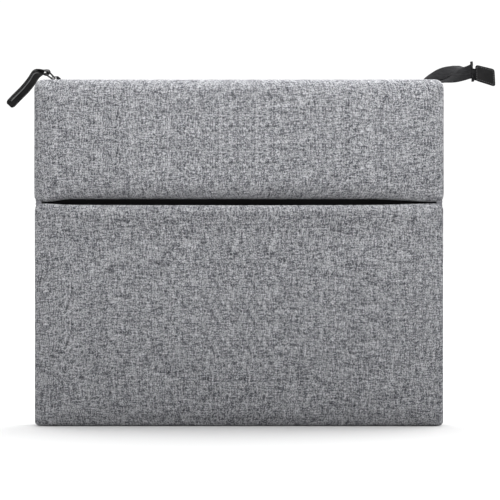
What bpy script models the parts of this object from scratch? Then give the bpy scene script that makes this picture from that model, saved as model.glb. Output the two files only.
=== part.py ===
"""Padded fabric laptop sleeve that stands on its bottom edge.

+X runs along the width, +Y from the front to the back and +Z up. The origin is
on the bottom face. A zip closes the top, and a slit across the front opens the
outer pocket. The zip's slider carries a ring and a leather pull on the left,
and the zip's free tail ends in a leather tab on the right.
"""

import math

import bmesh
import bpy
from mathutils import Matrix, Quaternion, Vector

MM = 0.001

# Case
CASE_WIDTH = 370 * MM
CASE_HEIGHT = 314 * MM
FRONT = -16 * MM
BACK = 16 * MM
FABRIC = 1.0 * MM
LINING = 0.6 * MM
GAP = 0.3 * MM
EDGE_RADIUS = 2.5 * MM
EDGE_STEPS = 3

# Front pocket and its slit
SLIT_LOW = 198.3 * MM
SLIT_HIGH = 204.3 * MM
TACK_LENGTH = 5.0 * MM
POCKET_FRONT = -12.0 * MM
DIVIDER_FRONT = -7.3 * MM
LINING_SETBACK = 0.1 * MM

# Main compartment
CAVITY_FRONT = -3.5 * MM
CAVITY_BACK = 10.5 * MM
BASE_PADDING = 3.4 * MM
WALL_TOP = 312.8 * MM
GUSSET_TOP = 308.4 * MM

# Zip
ZIP_Y = (CAVITY_FRONT + CAVITY_BACK) / 2
TAPE_Z = 309.3 * MM
TAPE_THICKNESS = 0.6 * MM
TAPE_EDGE = 6.4 * MM
COIL_NEAR = 0.6 * MM
COIL_FAR = 2.6 * MM
COIL_LOW = 309.9 * MM
COIL_HIGH = 311.9 * MM
FOLD_OFFSET = 0.1 * MM
ZIP_LEFT = -178.0 * MM
FOLD_LEFT = -159.5 * MM
FOLD_RIGHT = 150.0 * MM
ZIP_RIGHT = 164.0 * MM

# Slider
SLIDER_LEFT = -172.2 * MM
SLIDER_LENGTH = 10.4 * MM
SLIDER_HALF_WIDTH = 4.2 * MM
PLATE = 1.1 * MM
SLIDER_BASE = 307.4 * MM
SLIDER_TOP = 313.3 * MM
FLANGE_LOW = 310.0 * MM
FLANGE = 0.9 * MM
WEB_HALF = 0.3 * MM
CROWN_WIDTH = 2.2 * MM
STOP_LENGTH = 2.0 * MM

# Pull ring and leather pull
RING_PIVOT = Vector((-168.8, 3.5, 315.25)) * MM
RING_SLOPE = math.radians(42)
RING_TILT = math.radians(25)
RING_REACH = 8.7 * MM
RING_THICKNESS = 1.3 * MM
PULL_THICKNESS = 1.3 * MM
PULL_NECK = 2.6 * MM
PULL_END = 4.4 * MM
PULL_CORNER = 1.6 * MM
PULL_LAYER_GAP = 0.2 * MM
PULL_LOOP = 1.1 * MM
PULL_FOLD_STEPS = 8
PULL_END_BAR = Vector((-0.65, -0.34, 0.68)).normalized()

# Tail of the zip
LEAF_GAP = 1.5 * MM
TAIL_COIL_RADIUS = 1.1 * MM
TAIL_HINGE = Vector((187.3, 3.5, 309.5)) * MM
CLAMP_X = (211.7 * MM, 213.7 * MM)
CLAMP_Y = (0.6 * MM, 7.2 * MM)
CLAMP_Z = (312.8 * MM, 331.2 * MM)
CLAMP_ROUNDING = 0.5 * MM

# Leather tab
TAB_HINGE = Vector((214.2, 3.6, 320.5)) * MM
TAB_MIDDLE = Vector((224.2, 3.6, 319.2)) * MM
TAB_THICKNESS = 1.3 * MM
TAB_HALF_OPENING = 0.7 * MM
TAB_CORE = 0.8 * MM


def clear_scene():
    for obj in list(bpy.data.objects):
        bpy.data.objects.remove(obj)


def new_collection(name):
    collection = bpy.data.collections.new(name)
    bpy.context.scene.collection.children.link(collection)
    return collection


def make_material(name, colour, roughness, metallic=0.0):
    material = bpy.data.materials.new(name)
    material.use_nodes = True
    shader = material.node_tree.nodes["Principled BSDF"]
    shader.inputs["Base Color"].default_value = (*colour, 1.0)
    shader.inputs["Roughness"].default_value = roughness
    shader.inputs["Metallic"].default_value = metallic
    return material


def keep(obj, name, material, collection=None):
    """Names the object and puts it in the parts' collection, or in another."""
    obj.name = name
    obj.data.name = name
    for old in list(obj.users_collection):
        old.objects.unlink(obj)
    (collection or parts).objects.link(obj)
    if material:
        obj.data.materials.clear()
        obj.data.materials.append(material)
    return obj


def add_box(name, material, x, y, z, collection=None):
    """A box from the (low, high) pairs x, y and z."""
    low = Vector((x[0], y[0], z[0]))
    high = Vector((x[1], y[1], z[1]))
    bpy.ops.mesh.primitive_cube_add(size=1, location=(low + high) / 2, scale=high - low)
    obj = bpy.context.object
    bpy.ops.object.transform_apply(location=False, rotation=False, scale=True)
    return keep(obj, name, material, collection)


def mirror_box(name, material, x, y, z):
    """The left and right boxes that lie from x[0] to x[1] out from the middle."""
    add_box("left_" + name, material, (-x[1], -x[0]), y, z)
    add_box("right_" + name, material, x, y, z)


def round_outer_edges(obj, outer_y):
    """Bevels the edges round the face at outer_y and those that run back from it."""
    shape = bmesh.new()
    shape.from_mesh(obj.data)
    local_y = outer_y - obj.location.y
    edges = [
        edge
        for edge in shape.edges
        if any(abs(vert.co.y - local_y) < GAP for vert in edge.verts)
    ]
    bmesh.ops.bevel(
        shape,
        geom=edges,
        offset=EDGE_RADIUS,
        segments=EDGE_STEPS,
        profile=0.5,
        affect="EDGES",
    )
    shape.to_mesh(obj.data)
    shape.free()


def add_cover(name, material, z, outer_y, rim_y):
    """A fabric tray that wraps a padded panel and is open towards rim_y."""
    half = CASE_WIDTH / 2
    depth = sorted((outer_y, rim_y))
    obj = add_box(name, material, (-half, half), depth, z)
    round_outer_edges(obj, outer_y)
    inwards = math.copysign(FABRIC, rim_y - outer_y)
    hollow = sorted((outer_y + inwards, rim_y + inwards))
    inner = half - FABRIC
    height = (z[0] + FABRIC, z[1] - FABRIC)
    cutter = add_box(name + "_hollow", None, (-inner, inner), hollow, height, cutters)
    cutter.hide_render = True
    cutter.display_type = "WIRE"
    cut = obj.modifiers.new("Hollow", "BOOLEAN")
    cut.operation = "DIFFERENCE"
    cut.object = cutter
    return obj


def add_outline(name, material, outlines, thickness, frame):
    """A flat plate from closed outlines in the frame's XY plane; later outlines are holes."""
    curve = bpy.data.curves.new(name, "CURVE")
    curve.dimensions = "2D"
    curve.fill_mode = "BOTH"
    curve.extrude = thickness / 2
    for points in outlines:
        spline = curve.splines.new("POLY")
        spline.points.add(len(points) - 1)
        for slot, point in zip(spline.points, points):
            slot.co = (point[0], point[1], 0, 1)
        spline.use_cyclic_u = True
    obj = bpy.data.objects.new(name, curve)
    parts.objects.link(obj)
    obj.matrix_world = frame
    curve.materials.append(material)
    return obj


def smooth_route(points, steps):
    """Points along a smooth curve through the given ones."""
    route = []
    for index in range(len(points) - 1):
        before = points[max(index - 1, 0)]
        start = points[index]
        end = points[index + 1]
        after = points[min(index + 2, len(points) - 1)]
        for step in range(steps):
            t = step / steps
            route.append(
                0.5
                * (
                    2 * start
                    + (end - before) * t
                    + (2 * before - 5 * start + 4 * end - after) * t**2
                    + (3 * start - before - 3 * end + after) * t**3
                )
            )
    route.append(points[-1])
    return route


def add_ribbon(name, material, left, right, thickness):
    """A strip of even thickness between two edges, given as lists of points."""
    shape = bmesh.new()
    rings = []
    last = len(left) - 1
    for index, (a, b) in enumerate(zip(left, right)):
        ahead = min(index + 1, last)
        behind = max(index - 1, 0)
        along = (left[ahead] + right[ahead]) - (left[behind] + right[behind])
        normal = along.cross(b - a).normalized() * thickness / 2
        corners = (a + normal, b + normal, b - normal, a - normal)
        rings.append([shape.verts.new(corner) for corner in corners])
    for ring, following in zip(rings, rings[1:]):
        for side in range(4):
            turn = (side + 1) % 4
            shape.faces.new((ring[side], ring[turn], following[turn], following[side]))
    shape.faces.new(rings[0])
    shape.faces.new(list(reversed(rings[-1])))
    bmesh.ops.recalc_face_normals(shape, faces=shape.faces)
    mesh = bpy.data.meshes.new(name)
    shape.to_mesh(mesh)
    shape.free()
    return keep(bpy.data.objects.new(name, mesh), name, material)


def add_tube(name, material, points, radius):
    """A round bar along the points, with filled ends."""
    curve = bpy.data.curves.new(name, "CURVE")
    curve.dimensions = "3D"
    curve.bevel_depth = radius
    curve.bevel_resolution = 2
    curve.use_fill_caps = True
    spline = curve.splines.new("POLY")
    spline.points.add(len(points) - 1)
    for slot, point in zip(spline.points, points):
        slot.co = (*point, 1)
    obj = bpy.data.objects.new(name, curve)
    parts.objects.link(obj)
    curve.materials.append(material)
    return obj


def set_origin(obj, point):
    """Moves the object's origin to a point on its joint's axis; its shape stays."""
    obj.data.transform(Matrix.Translation(obj.location - point))
    obj.location = point


def hang_on(hinge, point, pieces):
    """Parents the pieces to an empty on their joint's axis; they stay in place."""
    empty = bpy.data.objects.new(hinge, None)
    parts.objects.link(empty)
    empty.location = point
    for piece in pieces:
        piece.parent = empty
        piece.matrix_parent_inverse = Matrix.Translation(-point)


def make_rear_wall(fabric, foam, lining):
    rim = CAVITY_BACK + GAP
    inside = CASE_WIDTH / 2 - FABRIC - GAP
    lining_x = inside - 3 * GAP
    padding_low = CAVITY_BACK + LINING + GAP
    add_cover("rear_cover", fabric, (0, CASE_HEIGHT), BACK, rim)
    height = (FABRIC + GAP, CASE_HEIGHT - FABRIC - GAP)
    depth = (padding_low, BACK - FABRIC - GAP)
    add_box("rear_padding", foam, (-inside, inside), depth, height)
    depth = (CAVITY_BACK, CAVITY_BACK + LINING)
    add_box("rear_lining", lining, (-lining_x, lining_x), depth, height)


def make_front_panels(fabric, foam, lining, thread):
    inside = CASE_WIDTH / 2 - FABRIC - GAP
    skin = FRONT + FABRIC + GAP
    upper_rim = DIVIDER_FRONT - GAP
    lower_rim = POCKET_FRONT - GAP
    add_cover("upper_front_cover", fabric, (SLIT_HIGH, CASE_HEIGHT), FRONT, upper_rim)
    height = (SLIT_HIGH + FABRIC + GAP, CASE_HEIGHT - FABRIC - GAP)
    add_box("upper_front_padding", foam, (-inside, inside), (skin, upper_rim), height)
    add_cover("lower_front_cover", fabric, (0, SLIT_LOW), FRONT, lower_rim)
    height = (FABRIC + GAP, SLIT_LOW - FABRIC - GAP)
    lining_front = POCKET_FRONT - LINING_SETBACK - LINING
    depth = (skin, lining_front - GAP)
    add_box("lower_front_padding", foam, (-inside, inside), depth, height)
    depth = (lining_front, lining_front + LINING)
    add_box("pocket_front_lining", lining, (-inside, inside), depth, height)
    tack_x = (inside - TACK_LENGTH, inside)
    tack_z = (SLIT_LOW + GAP, SLIT_HIGH - GAP)
    mirror_box("slit_tack", thread, tack_x, (skin, lining_front), tack_z)


def make_divider(foam, lining, fabric):
    half = CASE_WIDTH / 2 - FABRIC - 2 * GAP
    height = (FABRIC + GAP, TAPE_Z - GAP)
    back_lining = (DIVIDER_FRONT, DIVIDER_FRONT + LINING)
    main_lining = (CAVITY_FRONT - LINING, CAVITY_FRONT)
    padding = (back_lining[1] + GAP, main_lining[0] - GAP)
    add_box("pocket_back_lining", lining, (-half, half), back_lining, height)
    add_box("divider_padding", foam, (-half, half), padding, height)
    add_box("divider_lining", lining, (-half, half), main_lining, height)
    depth = (DIVIDER_FRONT, CAVITY_FRONT)
    top = (TAPE_Z, WALL_TOP)
    add_box("front_mouth_facing", fabric, (-half, half), depth, top)


def make_sides_and_base(fabric, foam, lining):
    half = CASE_WIDTH / 2
    outer = (half - FABRIC, half)
    body = (DIVIDER_FRONT, CAVITY_BACK)
    pocket = (POCKET_FRONT, DIVIDER_FRONT - GAP)
    above_base = FABRIC + GAP
    mirror_box("gusset", fabric, outer, body, (above_base, GUSSET_TOP))
    mirror_box("pocket_gusset", fabric, outer, pocket, (above_base, SLIT_LOW))
    add_box("bottom_gusset", fabric, (-half, half), body, (0, FABRIC))
    add_box("pocket_floor", fabric, (-half, half), pocket, (0, FABRIC))
    cavity = (CAVITY_FRONT + GAP, CAVITY_BACK - GAP)
    floor_x = half - FABRIC - 4 * GAP
    padding = (above_base, above_base + BASE_PADDING)
    floor = (padding[1] + GAP, padding[1] + GAP + LINING)
    add_box("bottom_padding", foam, (-floor_x, floor_x), cavity, padding)
    add_box("bottom_lining", lining, (-floor_x, floor_x), cavity, floor)
    side = (half - FABRIC - GAP - LINING, half - FABRIC - GAP)
    mirror_box("gusset_lining", lining, side, cavity, (floor[1] + GAP, GUSSET_TOP))


def add_zip_half(place, side, x, tape, coil, coil_start=None):
    """One side's tape and coil between the x values; side is -1 in front and 1 behind."""
    depth = sorted((ZIP_Y + side * COIL_NEAR, ZIP_Y + side * TAPE_EDGE))
    height = (TAPE_Z - TAPE_THICKNESS / 2, TAPE_Z + TAPE_THICKNESS / 2)
    band = add_box(place + "_tape", tape, x, depth, height)
    depth = sorted((ZIP_Y + side * COIL_NEAR, ZIP_Y + side * COIL_FAR))
    start = x[0] if coil_start is None else coil_start
    chain = add_box(place + "_coil", coil, (start, x[1]), depth, (COIL_LOW, COIL_HIGH))
    return band, chain


def make_zip(tape, coil, metal):
    ends = (ZIP_LEFT, FOLD_LEFT - GAP)
    for side, word in ((-1, "front"), (1, "rear")):
        edge = ZIP_Y + side * (TAPE_EDGE + FOLD_OFFSET)
        axis = Vector((0, edge, TAPE_Z))
        pieces = add_zip_half(word + "_zip", side, (FOLD_LEFT, FOLD_RIGHT), tape, coil)
        for piece in pieces:
            set_origin(piece, axis)
        add_zip_half("left_%s_end" % word, side, ends, tape, coil, SLIDER_LEFT)
        shown = (FOLD_RIGHT + GAP, ZIP_RIGHT)
        add_zip_half("right_%s_end" % word, side, shown, tape, coil)
    stop = (SLIDER_LEFT - GAP - STOP_LENGTH, SLIDER_LEFT - GAP)
    depth = (ZIP_Y - COIL_FAR, ZIP_Y + COIL_FAR)
    add_box("zip_end_stop", metal, stop, depth, (COIL_LOW, COIL_HIGH))


def make_slider(metal):
    """The slider's body is an I section, whose thin web runs between the coils."""
    wide = SLIDER_HALF_WIDTH
    lip = wide - FLANGE
    low = SLIDER_BASE + PLATE
    high = SLIDER_TOP - PLATE
    right = [
        (wide, SLIDER_BASE),
        (wide, low),
        (WEB_HALF, low),
        (WEB_HALF, high),
        (lip, high),
        (lip, FLANGE_LOW),
        (wide, FLANGE_LOW),
        (wide, SLIDER_TOP),
    ]
    left = [(-y, z) for y, z in reversed(right)]
    middle = Vector((SLIDER_LEFT + SLIDER_LENGTH / 2, ZIP_Y, 0))
    across = Matrix(((0, 0, 1), (1, 0, 0), (0, 1, 0))).to_4x4()
    frame = Matrix.Translation(middle) @ across
    add_outline("slider_body", metal, [right + left], SLIDER_LENGTH, frame)
    crown = [
        (-4.4, 0.3), (-4.1, 3.3), (-3.3, 4.2), (1.8, 4.5), (4.2, 2.6), (4.8, 0.3),
        (0.2, 0.3), (0.2, 3.5), (-3.4, 3.5), (-3.4, 0.3),
    ]
    points = [(x * MM, z * MM) for x, z in crown]
    upright = Matrix.Rotation(math.radians(90), 4, "X")
    frame = Matrix.Translation(middle + Vector((0, 0, SLIDER_TOP))) @ upright
    add_outline("slider_crown", metal, [points], CROWN_WIDTH, frame)


def ring_axes():
    """The ring's outward direction and the direction of its bars."""
    outward = Vector((-math.cos(RING_SLOPE), 0, math.sin(RING_SLOPE)))
    bar = Quaternion(outward, -RING_TILT) @ Vector((0, 1, 0))
    return outward, bar


def make_ring(metal):
    """A flat ring that widens from the bar in the crown to the bar in the pull."""
    outer = [(-0.65, 2.5), (-0.3, 3.0), (8.6, 5.0), (9.4, 4.4)]
    hole = [(0.65, 1.7), (8.0, 3.6)]
    outlines = []
    for half in (outer, hole):
        points = half + [(x, -y) for x, y in reversed(half)]
        outlines.append([(x * MM, y * MM) for x, y in points])
    outward, bar = ring_axes()
    turn = Matrix((outward, bar, outward.cross(bar))).transposed().to_4x4()
    frame = Matrix.Translation(RING_PIVOT) @ turn
    add_outline("pull_ring", metal, outlines, RING_THICKNESS, frame)


def make_pull(leather):
    """A leather strip that goes round the ring's outer bar and back along itself."""
    outward, bar = ring_axes()
    start = RING_PIVOT + outward * RING_REACH
    corners = [
        (-180.3, 5.2, 322.0), (-185.9, 11.5, 320.3), (-190.8, 17.2, 314.2),
        (-197.2, 19.7, 306.8), (-204.7, 19.9, 299.3), (-211.6, 19.7, 292.0),
    ]
    spine = smooth_route([start] + [Vector(point) * MM for point in corners], 4)
    last = len(spine) - 1
    front_left, front_right, back_left, back_right = [], [], [], []
    for index, point in enumerate(spine):
        share = index / last
        turn = min(1.0, share / 0.35)
        along = (spine[min(index + 1, last)] - spine[max(index - 1, 0)]).normalized()
        across = (-bar).lerp(PULL_END_BAR, turn * turn * (3 - 2 * turn))
        across = (across - along * across.dot(along)).normalized()
        normal = along.cross(across)
        width = PULL_NECK + (PULL_END - PULL_NECK) * min(1.0, share * 3)
        if index > last - 2:
            width -= PULL_CORNER * (index - last + 2) / 2
        loop = PULL_LOOP * max(0.0, 1 - share * 5) ** 0.5
        apart = PULL_THICKNESS / 2 + PULL_LAYER_GAP + loop
        front_left.append(point + across * width + normal * apart)
        front_right.append(point - across * width + normal * apart)
        back_left.append(point + across * width - normal * apart)
        back_right.append(point - across * width - normal * apart)
    along = (spine[1] - spine[0]).normalized()
    across = (-bar - along * -bar.dot(along)).normalized()
    normal = along.cross(across)
    radius = (front_left[0] - back_left[0]).length / 2
    fold_left, fold_right = [], []
    for step in range(1, PULL_FOLD_STEPS):
        angle = math.pi * step / PULL_FOLD_STEPS
        middle = start + (normal * math.cos(angle) - along * math.sin(angle)) * radius
        fold_left.append(middle + across * PULL_NECK)
        fold_right.append(middle - across * PULL_NECK)
    left = list(reversed(front_left)) + fold_left + back_left
    right = list(reversed(front_right)) + fold_right + back_right
    pull = add_ribbon("pull_strap", leather, left, right, PULL_THICKNESS)
    set_origin(pull, start)


def tail_section(ridge, edge):
    """The two ends of one leaf's width, from beside the coil to the tape's edge."""
    out = (edge - ridge).normalized()
    return ridge + out * LEAF_GAP, edge


def make_tail(tape, coil, metal):
    """The zip's free end rises out of the mouth and folds along its coil."""
    stations = [
        # x, then y and z of the coil, the rear edge and the front edge
        (164.4, 3.5, 310.6, 9.9, 309.5, -2.9, 309.4),
        (170.0, 3.5, 311.3, 9.4, 314.4, -2.6, 309.7),
        (176.0, 3.5, 312.4, 9.8, 321.0, -2.4, 310.3),
        (182.0, 3.4, 313.4, 9.8, 324.8, -2.4, 311.0),
        (187.3, 3.2, 314.6, 9.2, 326.6, -2.8, 311.5),
        (193.0, 2.8, 318.0, 9.8, 327.6, -2.5, 311.4),
        (198.5, 2.6, 321.8, 11.8, 328.0, -1.0, 312.0),
        (204.5, 2.5, 325.6, 12.6, 326.8, 0.6, 313.4),
        (211.0, 2.6, 328.2, 6.6, 317.4, 1.6, 315.3),
    ]
    coil_line = [Vector((x, y, z)) * MM for x, y, z, _, _, _, _ in stations]
    rear_line = [Vector((x, y, z)) * MM for x, _, _, y, z, _, _ in stations]
    front_line = [Vector((x, y, z)) * MM for x, _, _, _, _, y, z in stations]
    split = 4
    moving = []
    for place, first, last in (("tail_root", 0, split), ("tail", split, len(stations) - 1)):
        ridge = smooth_route(coil_line[first:last + 1], 4)
        if place == "tail":
            ridge = ridge[1:]
        else:
            ridge = ridge[:-1]
        pieces = [add_tube(place + "_coil", coil, ridge, TAIL_COIL_RADIUS)]
        for word, line in (("rear", rear_line), ("front", front_line)):
            edge = smooth_route(line[first:last + 1], 4)
            edge = edge[1:] if place == "tail" else edge[:-1]
            pairs = [tail_section(a, b) for a, b in zip(ridge, edge)]
            left = [pair[0] for pair in pairs]
            right = [pair[1] for pair in pairs]
            leaf = "%s_%s_leaf" % (place, word)
            pieces.append(add_ribbon(leaf, tape, left, right, TAPE_THICKNESS))
        if place == "tail":
            moving = pieces
    clamp = add_box("tail_clamp", metal, CLAMP_X, CLAMP_Y, CLAMP_Z)
    bevel = clamp.modifiers.new("Rounded", "BEVEL")
    bevel.width = CLAMP_ROUNDING
    bevel.segments = 2
    hang_on("tail_hinge", TAIL_HINGE, moving + [clamp])


def make_tab(leather, tape):
    """Two leather faces sewn over the end of the folded tail."""
    outline = [
        (-8.4, 8.2), (-7.2, 9.3), (7.4, 5.2), (8.9, 3.8),
        (9.6, -9.6), (8.6, -11.0), (-8.0, -5.4), (-8.8, -4.2),
    ]
    points = [(x * MM, z * MM) for x, z in outline]
    upright = Matrix.Rotation(math.radians(90), 4, "X")
    pieces = []
    for name, side in (("tab_front_leather", -1), ("tab_back_leather", 1)):
        offset = Vector((0, side * (TAB_THICKNESS / 2 + TAB_HALF_OPENING), 0))
        frame = Matrix.Translation(TAB_MIDDLE + offset) @ upright
        pieces.append(add_outline(name, leather, [points], TAB_THICKNESS, frame))
    core = [(-8.9, 3.0), (6.5, 2.0), (6.5, -7.0), (-8.9, -3.4)]
    points = [(x * MM, z * MM) for x, z in core]
    frame = Matrix.Translation(TAB_MIDDLE) @ upright
    pieces.append(add_outline("tab_core", tape, [points], TAB_CORE, frame))
    hang_on("tab_hinge", TAB_HINGE, pieces)


clear_scene()
parts = new_collection("laptop_sleeve")
cutters = new_collection("cutters")

melange = make_material("melange_fabric", (0.30, 0.305, 0.33), 0.95)
foam = make_material("foam", (0.12, 0.12, 0.13), 0.98)
black_lining = make_material("black_lining", (0.02, 0.02, 0.022), 0.9)
thread = make_material("thread", (0.18, 0.18, 0.2), 0.9)
zip_tape = make_material("zip_tape", (0.022, 0.022, 0.024), 0.85)
coil_plastic = make_material("coil_plastic", (0.015, 0.015, 0.017), 0.45)
black_metal = make_material("black_metal", (0.03, 0.03, 0.032), 0.35, 0.8)
leather = make_material("leather", (0.018, 0.018, 0.02), 0.55)

make_rear_wall(melange, foam, black_lining)
make_front_panels(melange, foam, black_lining, thread)
make_divider(foam, black_lining, melange)
make_sides_and_base(melange, foam, black_lining)
make_zip(zip_tape, coil_plastic, black_metal)
make_slider(black_metal)
make_ring(black_metal)
make_pull(leather)
make_tail(zip_tape, coil_plastic, black_metal)
make_tab(leather, zip_tape)
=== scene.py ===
"""Looks of the padded laptop sleeve: melange fabric panels, linings, coil zip,
slider with its leather pull, and the zip's folded tail with its leather tab."""

import math

import bpy
import numpy as np
from mathutils import Matrix, Quaternion, Vector


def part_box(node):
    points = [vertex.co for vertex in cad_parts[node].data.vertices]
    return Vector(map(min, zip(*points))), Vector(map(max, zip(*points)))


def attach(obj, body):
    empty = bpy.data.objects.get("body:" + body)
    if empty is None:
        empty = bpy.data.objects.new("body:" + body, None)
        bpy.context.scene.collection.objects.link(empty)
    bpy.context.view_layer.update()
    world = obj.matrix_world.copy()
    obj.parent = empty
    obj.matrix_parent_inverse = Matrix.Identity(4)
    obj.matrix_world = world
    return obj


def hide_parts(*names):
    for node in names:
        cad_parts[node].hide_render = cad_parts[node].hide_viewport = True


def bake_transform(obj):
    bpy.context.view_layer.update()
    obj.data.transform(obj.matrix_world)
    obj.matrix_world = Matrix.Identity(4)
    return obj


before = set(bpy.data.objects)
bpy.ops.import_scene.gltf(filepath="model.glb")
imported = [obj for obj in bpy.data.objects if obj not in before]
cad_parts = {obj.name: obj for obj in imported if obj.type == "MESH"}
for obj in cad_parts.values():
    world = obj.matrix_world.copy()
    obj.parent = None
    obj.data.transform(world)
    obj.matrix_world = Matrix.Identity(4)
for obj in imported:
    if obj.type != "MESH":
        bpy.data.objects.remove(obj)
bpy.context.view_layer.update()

MM = 0.001
MERGE_DISTANCE = 0.01 * MM

# Driving places
REAR_LOW, REAR_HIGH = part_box("rear_cover")
UPPER_LOW, UPPER_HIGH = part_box("upper_front_cover")
LOWER_LOW, LOWER_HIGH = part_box("lower_front_cover")
HALF_WIDTH = REAR_HIGH.x
CASE_TOP = REAR_HIGH.z
ZIP_Y = (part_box("front_zip_tape")[0].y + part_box("rear_zip_tape")[1].y) / 2

# Camera
CAMERA_AT = Vector((0.00995, -2.216, 0.1592))
LENS = 175.1

# Light
AMBIENT = 0.17
SEEN_WHITE = 1.05
DOME = 4.0
KEY = 3.9
SOFTBOX_AT = (0.13, -0.27, 0.74)
SOFTBOX_AIM = (0.01, 0.0, 0.14)
FLOOR_BOUNCE = (0.64, 0.64, 0.64)

# Fabric panels
CELL = 4.0 * MM
EDGE_CROWDING = 0.2
SWELL = 1.3 * MM
PUFF_FRAMES = 20
PRESSURE = 4.0

# Rounding of the padded pieces' rims
UPPER_RIMS = {"side": 8 * MM, "bottom": 4.5 * MM, "top": 8 * MM, "depth": 5.2 * MM}
LOWER_RIMS = {"side": 8 * MM, "bottom": 1.6 * MM, "top": 6 * MM, "depth": 3.7 * MM}
REAR_RIMS = {"side": 6 * MM, "bottom": 2.6 * MM, "top": 6 * MM, "depth": 3.2 * MM}
DIVIDER_RIMS = {"side": 2 * MM, "bottom": 1.5 * MM, "top": 1.5 * MM, "depth": 1.4 * MM}
FACING_RIMS = {"side": 1.5 * MM, "bottom": 0.6 * MM, "top": 1.6 * MM, "depth": 1.5 * MM}

# Gathers of the panels
GATHER = 0.16 * MM
GATHER_REACH = 14 * MM
SLOW_WAVE = 0.12 * MM

# Slit between the front panels
SLIT_UPPER_LIP = 205.3 * MM
SLIT_LOWER_LIP = 200.8 * MM
SLIT_CLOSED = 202.3 * MM
LIP_MEETING = 0.3 * MM
SLIT_END = 178.0 * MM
SLIT_LEFT_TAPER = 26.0 * MM
SLIT_RIGHT_TAPER = 60.0 * MM
LIP_REACH = 26.0 * MM
UPPER_LIP_LEAN = 0.9 * MM
LOWER_LIP_LEAN = 3.4 * MM
UPPER_LEAN_REACH = 8 * MM
LOWER_LEAN_REACH = 34 * MM
PANEL_SPREAD = Vector((0.8, 0, 0)) * MM

# Melange cloth
YARN = 0.64 * MM
SLUB = 7.0 * MM

# Sewing
SEAM_PITCH = 3.2 * MM
SEAM_THREAD = 0.55 * MM

# Gussets and linings
GUSSET_INSET = 1.4 * MM
GUSSET_BASE = 1.5 * MM
GUSSET_CORNER = 3 * MM
GUSSET_THICKNESS = 1.0 * MM
GUSSET_SEAM_INSET = 1.6 * MM
BAG_TOP = 308.6 * MM
BAG_THICKNESS = 0.5 * MM
POCKET_CLOTH = 0.4 * MM

# Zip
TOOTH_PITCH = 1.5 * MM
TOOTH_SIZE = Vector((0.95, 2.9, 1.8)) * MM
TOOTH_REACH = 0.35 * MM
TOOTH_TURN = math.radians(7)
TAPE_THICKNESS = 0.5 * MM

# Slider, ring and leather pull
SHIELD_THICKNESS = 1.1 * MM
FLANGE_DEPTH = 2.6 * MM
CROWN_WIDTH = 2.2 * MM
RING_PIVOT = Vector((-168.8, 3.5, 315.25)) * MM
RING_SLOPE = math.radians(42)
RING_TILT = math.radians(25)
RING_REACH = 8.7 * MM
RING_THICKNESS = 1.3 * MM
PULL_THICKNESS = 1.3 * MM
PULL_NECK = 2.6 * MM
PULL_END = 4.4 * MM
PULL_LAYER_GAP = 0.2 * MM
PULL_LOOP = 1.1 * MM
PULL_END_BAR = Vector((-0.65, -0.34, 0.68)).normalized()
PULL_SEAM_INSET = 0.9 * MM

# Tail of the zip and its tab
TAIL_TOOTH_SIZE = Vector((0.9, 1.9, 1.5)) * MM
TAIL_THICKNESS = 0.6 * MM
CLAMP_TILT = math.radians(-4)
TAB_MIDDLE = Vector((224.2, 3.6, 319.2)) * MM
TAB_TAPE_TOP = 325.2 * MM
TAB_TAPE_BOTTOM = 314.4 * MM

UPRIGHT = Matrix.Rotation(math.radians(90), 4, "X")
UPWARDS = Vector((0, 0, 1))


# ---------------------------------------------------------------- working steps


def deselect():
    """Leaves edit mode with nothing selected."""
    if bpy.context.mode != "OBJECT":
        bpy.ops.object.mode_set(mode="OBJECT")
    bpy.ops.object.select_all(action="DESELECT")


def activate(piece):
    """Makes the piece the only selected one."""
    deselect()
    piece.select_set(True)
    bpy.context.view_layer.objects.active = piece


def settle(piece):
    """Puts the piece's place into its mesh, so that the object sits at the origin."""
    activate(piece)
    bpy.ops.object.transform_apply(location=True, rotation=True, scale=True)
    return piece


def apply_modifier(piece, kind, **settings):
    """Adds a modifier with its settings and applies it."""
    activate(piece)
    modifier = piece.modifiers.new(kind.title(), kind)
    for key, value in settings.items():
        setattr(modifier, key, value)
    bpy.ops.object.modifier_apply(modifier=modifier.name)
    return piece


def smooth_once(piece):
    """Divides every face in four along a smooth surface."""
    return apply_modifier(piece, "SUBSURF", levels=1, render_levels=1)


def points_of(piece):
    """The mesh's points as rows of x, y and z."""
    points = np.empty(len(piece.data.vertices) * 3)
    piece.data.vertices.foreach_get("co", points)
    return points.reshape(-1, 3)


def put_points(piece, points):
    """Moves the mesh's points to the given rows."""
    piece.data.vertices.foreach_set("co", np.ascontiguousarray(points, dtype=float).ravel())
    piece.data.update()


def face_outwards(piece):
    """Merges doubled points and turns every face outwards."""
    activate(piece)
    bpy.ops.object.mode_set(mode="EDIT")
    bpy.ops.mesh.select_all(action="SELECT")
    bpy.ops.mesh.remove_doubles(threshold=MERGE_DISTANCE)
    bpy.ops.mesh.normals_make_consistent(inside=False)
    bpy.ops.object.mode_set(mode="OBJECT")
    return piece


def dress(piece, name, material, body, replaced=()):
    """Names a finished piece, gives it its finish and fixes it to its body."""
    piece.name = name
    piece.data.name = name
    piece.data.materials.clear()
    piece.data.materials.append(material)
    activate(piece)
    bpy.ops.object.shade_smooth_by_angle(angle=math.radians(40))
    if body:
        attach(piece, body)
    if replaced:
        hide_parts(*replaced)
    return piece


def smoothstep(low, high, value):
    """0 below low, 1 above high and a smooth rise between them."""
    share = np.clip((value - low) / (high - low), 0.0, 1.0)
    return share * share * (3.0 - 2.0 * share)


def add_grid(across, along):
    """A flat square of cells, one unit each way, centred at the origin."""
    deselect()
    bpy.ops.mesh.primitive_grid_add(x_subdivisions=across, y_subdivisions=along, size=1)
    return bpy.context.object


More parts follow.
